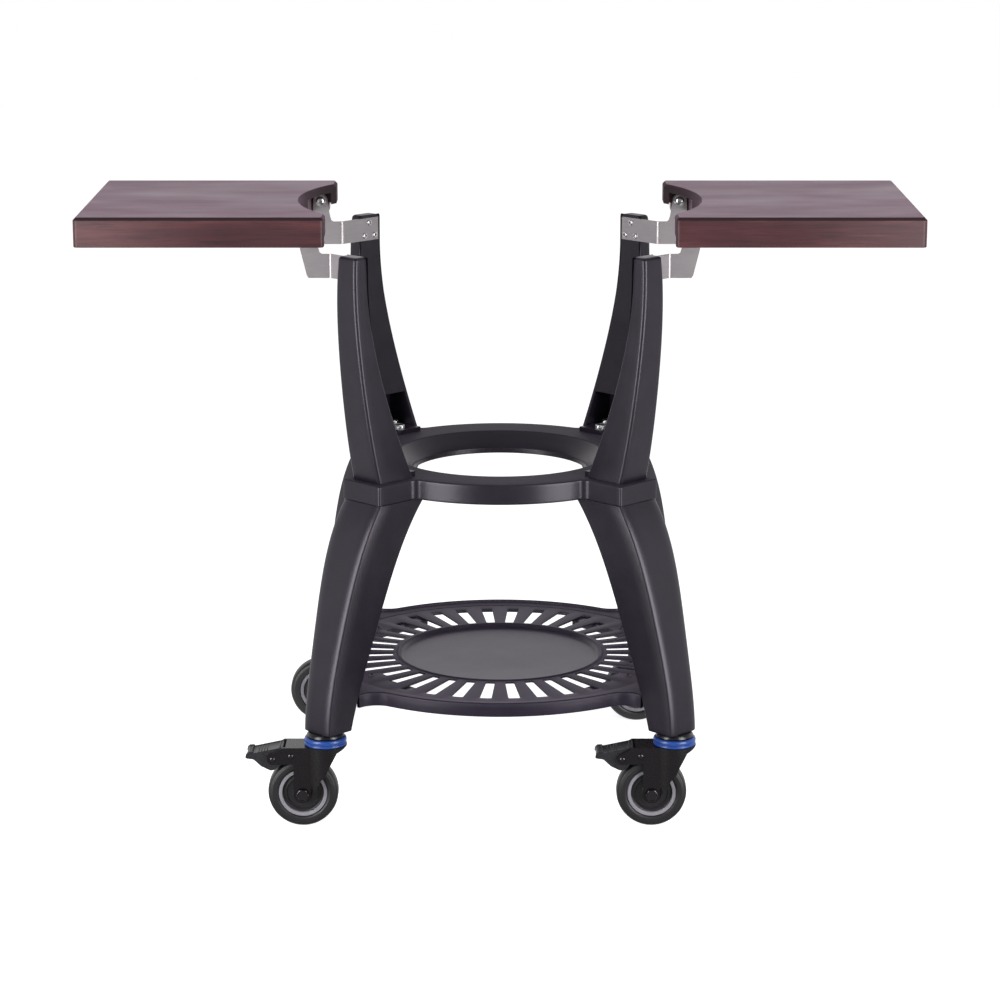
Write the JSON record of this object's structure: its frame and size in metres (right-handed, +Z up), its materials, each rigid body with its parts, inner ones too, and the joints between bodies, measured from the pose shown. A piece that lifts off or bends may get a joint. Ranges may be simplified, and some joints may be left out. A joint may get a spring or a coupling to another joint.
{
  "type": "kamado grill stand",
  "caption": "Rolling stand for a kamado grill: round cast cradle on curved legs, raised posts, drop-down wooden side boards, slotted lower shelf and swivel casters with brakes.",
  "frame": {"origin": "on the floor under the vertical axis of the cradle ring, which is the middle of the stand", "axes": "+X runs along the side boards to the right seen from the front, -Y is the front, +Z is up"},
  "size_m": [1.185, 0.5618, 0.8648],
  "materials": {
    "cast_body": "satin black powder coat",
    "shelf_coat": "satin black powder coat",
    "board_wood": "dark reddish stain, satin",
    "bracket_steel": "brushed",
    "bolt_steel": "bright zinc",
    "dark_screw": "black oxide",
    "insert_brass": "plain",
    "caster_steel": "black coat",
    "stem_black": "black coat",
    "sleeve_steel": "plain",
    "seal_blue": "matte blue",
    "axle_dark": "dark chrome",
    "hub_black": "matte black",
    "rim_grey": "matte grey",
    "tyre_rubber": "black rubber",
    "pedal_black": "grained black"
  },
  "bodies": {
    "stand": {"cradle_ring": "cast_body", "post_front_left": "cast_body", "post_front_right": "cast_body", "post_back_left": "cast_body", "post_back_right": "cast_body", "leg_front_left": "cast_body", "leg_front_right": "cast_body", "leg_back_left": "cast_body", "leg_back_right": "cast_body", "lower_shelf": "shelf_coat", "bracket_front_left": "bracket_steel", "bracket_front_right": "bracket_steel", "bracket_back_left": "bracket_steel", "bracket_back_right": "bracket_steel", "post_bolts": "bolt_steel", "leg_bolts": "sleeve_steel", "shelf_screws": "dark_screw", "bracket_screws": "bolt_steel", "caster_stems": "stem_black", "stem_sleeves": "sleeve_steel"},
    "board_left": {"side_board_left": "board_wood", "pivot_bolts_left": "bolt_steel", "board_inserts_left": "insert_brass"},
    "board_right": {"side_board_right": "board_wood", "pivot_bolts_right": "bolt_steel", "board_inserts_right": "insert_brass"},
    "caster_front_left": {"fork_front_left": "caster_steel", "seal_front_left": "seal_blue", "axle_front_left": "axle_dark", "pedal_pin_front_left": "axle_dark", "stop_pin_front_left": "axle_dark"},
    "wheel_front_left": {"hub_front_left": "hub_black", "rim_front_left": "rim_grey", "tyre_front_left": "tyre_rubber"},
    "caster_front_right": {"fork_front_right": "caster_steel", "seal_front_right": "seal_blue", "axle_front_right": "axle_dark", "pedal_pin_front_right": "axle_dark", "stop_pin_front_right": "axle_dark"},
    "wheel_front_right": {"hub_front_right": "hub_black", "rim_front_right": "rim_grey", "tyre_front_right": "tyre_rubber"},
    "caster_back_left": {"fork_back_left": "caster_steel", "seal_back_left": "seal_blue", "axle_back_left": "axle_dark"},
    "wheel_back_left": {"hub_back_left": "hub_black", "rim_back_left": "rim_grey", "tyre_back_left": "tyre_rubber"},
    "caster_back_right": {"fork_back_right": "caster_steel", "seal_back_right": "seal_blue", "axle_back_right": "axle_dark"},
    "wheel_back_right": {"hub_back_right": "hub_black", "rim_back_right": "rim_grey", "tyre_back_right": "tyre_rubber"},
    "pedal_front_left": {"pedal_front_left": "pedal_black"},
    "pedal_front_right": {"pedal_front_right": "pedal_black"}
  },
  "joints": [
    {"name": "board_fold_left", "type": "hinge", "parent": "stand", "child": "board_left", "pos_m": [-0.26862, 0, 0.8395], "axis": [0, -1, 0], "range_deg": [0, 90]},
    {"name": "board_fold_right", "type": "hinge", "parent": "stand", "child": "board_right", "pos_m": [0.26862, 0, 0.8395], "axis": [0, 1, 0], "range_deg": [0, 90]},
    {"name": "swivel_front_left", "type": "hinge", "parent": "stand", "child": "caster_front_left", "pos_m": [-0.24827, -0.24827, 0.119], "axis": [0, 0, 1], "continuous": true},
    {"name": "wheel_spin_front_left", "type": "hinge", "parent": "caster_front_left", "child": "wheel_front_left", "pos_m": [-0.28057, -0.24827, 0.05], "axis": [0, 1, 0], "continuous": true},
    {"name": "swivel_front_right", "type": "hinge", "parent": "stand", "child": "caster_front_right", "pos_m": [0.24827, -0.24827, 0.119], "axis": [0, 0, 1], "continuous": true},
    {"name": "wheel_spin_front_right", "type": "hinge", "parent": "caster_front_right", "child": "wheel_front_right", "pos_m": [0.21597, -0.24827, 0.05], "axis": [0, 1, 0], "continuous": true},
    {"name": "swivel_back_left", "type": "hinge", "parent": "stand", "child": "caster_back_left", "pos_m": [-0.24827, 0.24827, 0.119], "axis": [0, 0, 1], "continuous": true},
    {"name": "wheel_spin_back_left", "type": "hinge", "parent": "caster_back_left", "child": "wheel_back_left", "pos_m": [-0.28057, 0.24827, 0.05], "axis": [0, 1, 0], "continuous": true},
    {"name": "swivel_back_right", "type": "hinge", "parent": "stand", "child": "caster_back_right", "pos_m": [0.24827, 0.24827, 0.119], "axis": [0, 0, 1], "continuous": true},
    {"name": "wheel_spin_back_right", "type": "hinge", "parent": "caster_back_right", "child": "wheel_back_right", "pos_m": [0.21597, 0.24827, 0.05], "axis": [0, 1, 0], "continuous": true},
    {"name": "brake_pedal_front_left", "type": "hinge", "parent": "caster_front_left", "child": "pedal_front_left", "pos_m": [-0.32287, -0.24827, 0.1024], "axis": [0, -1, 0], "range_deg": [0, 10]},
    {"name": "brake_pedal_front_right", "type": "hinge", "parent": "caster_front_right", "child": "pedal_front_right", "pos_m": [0.17367, -0.24827, 0.1024], "axis": [0, -1, 0], "range_deg": [0, 10]}
  ]
}
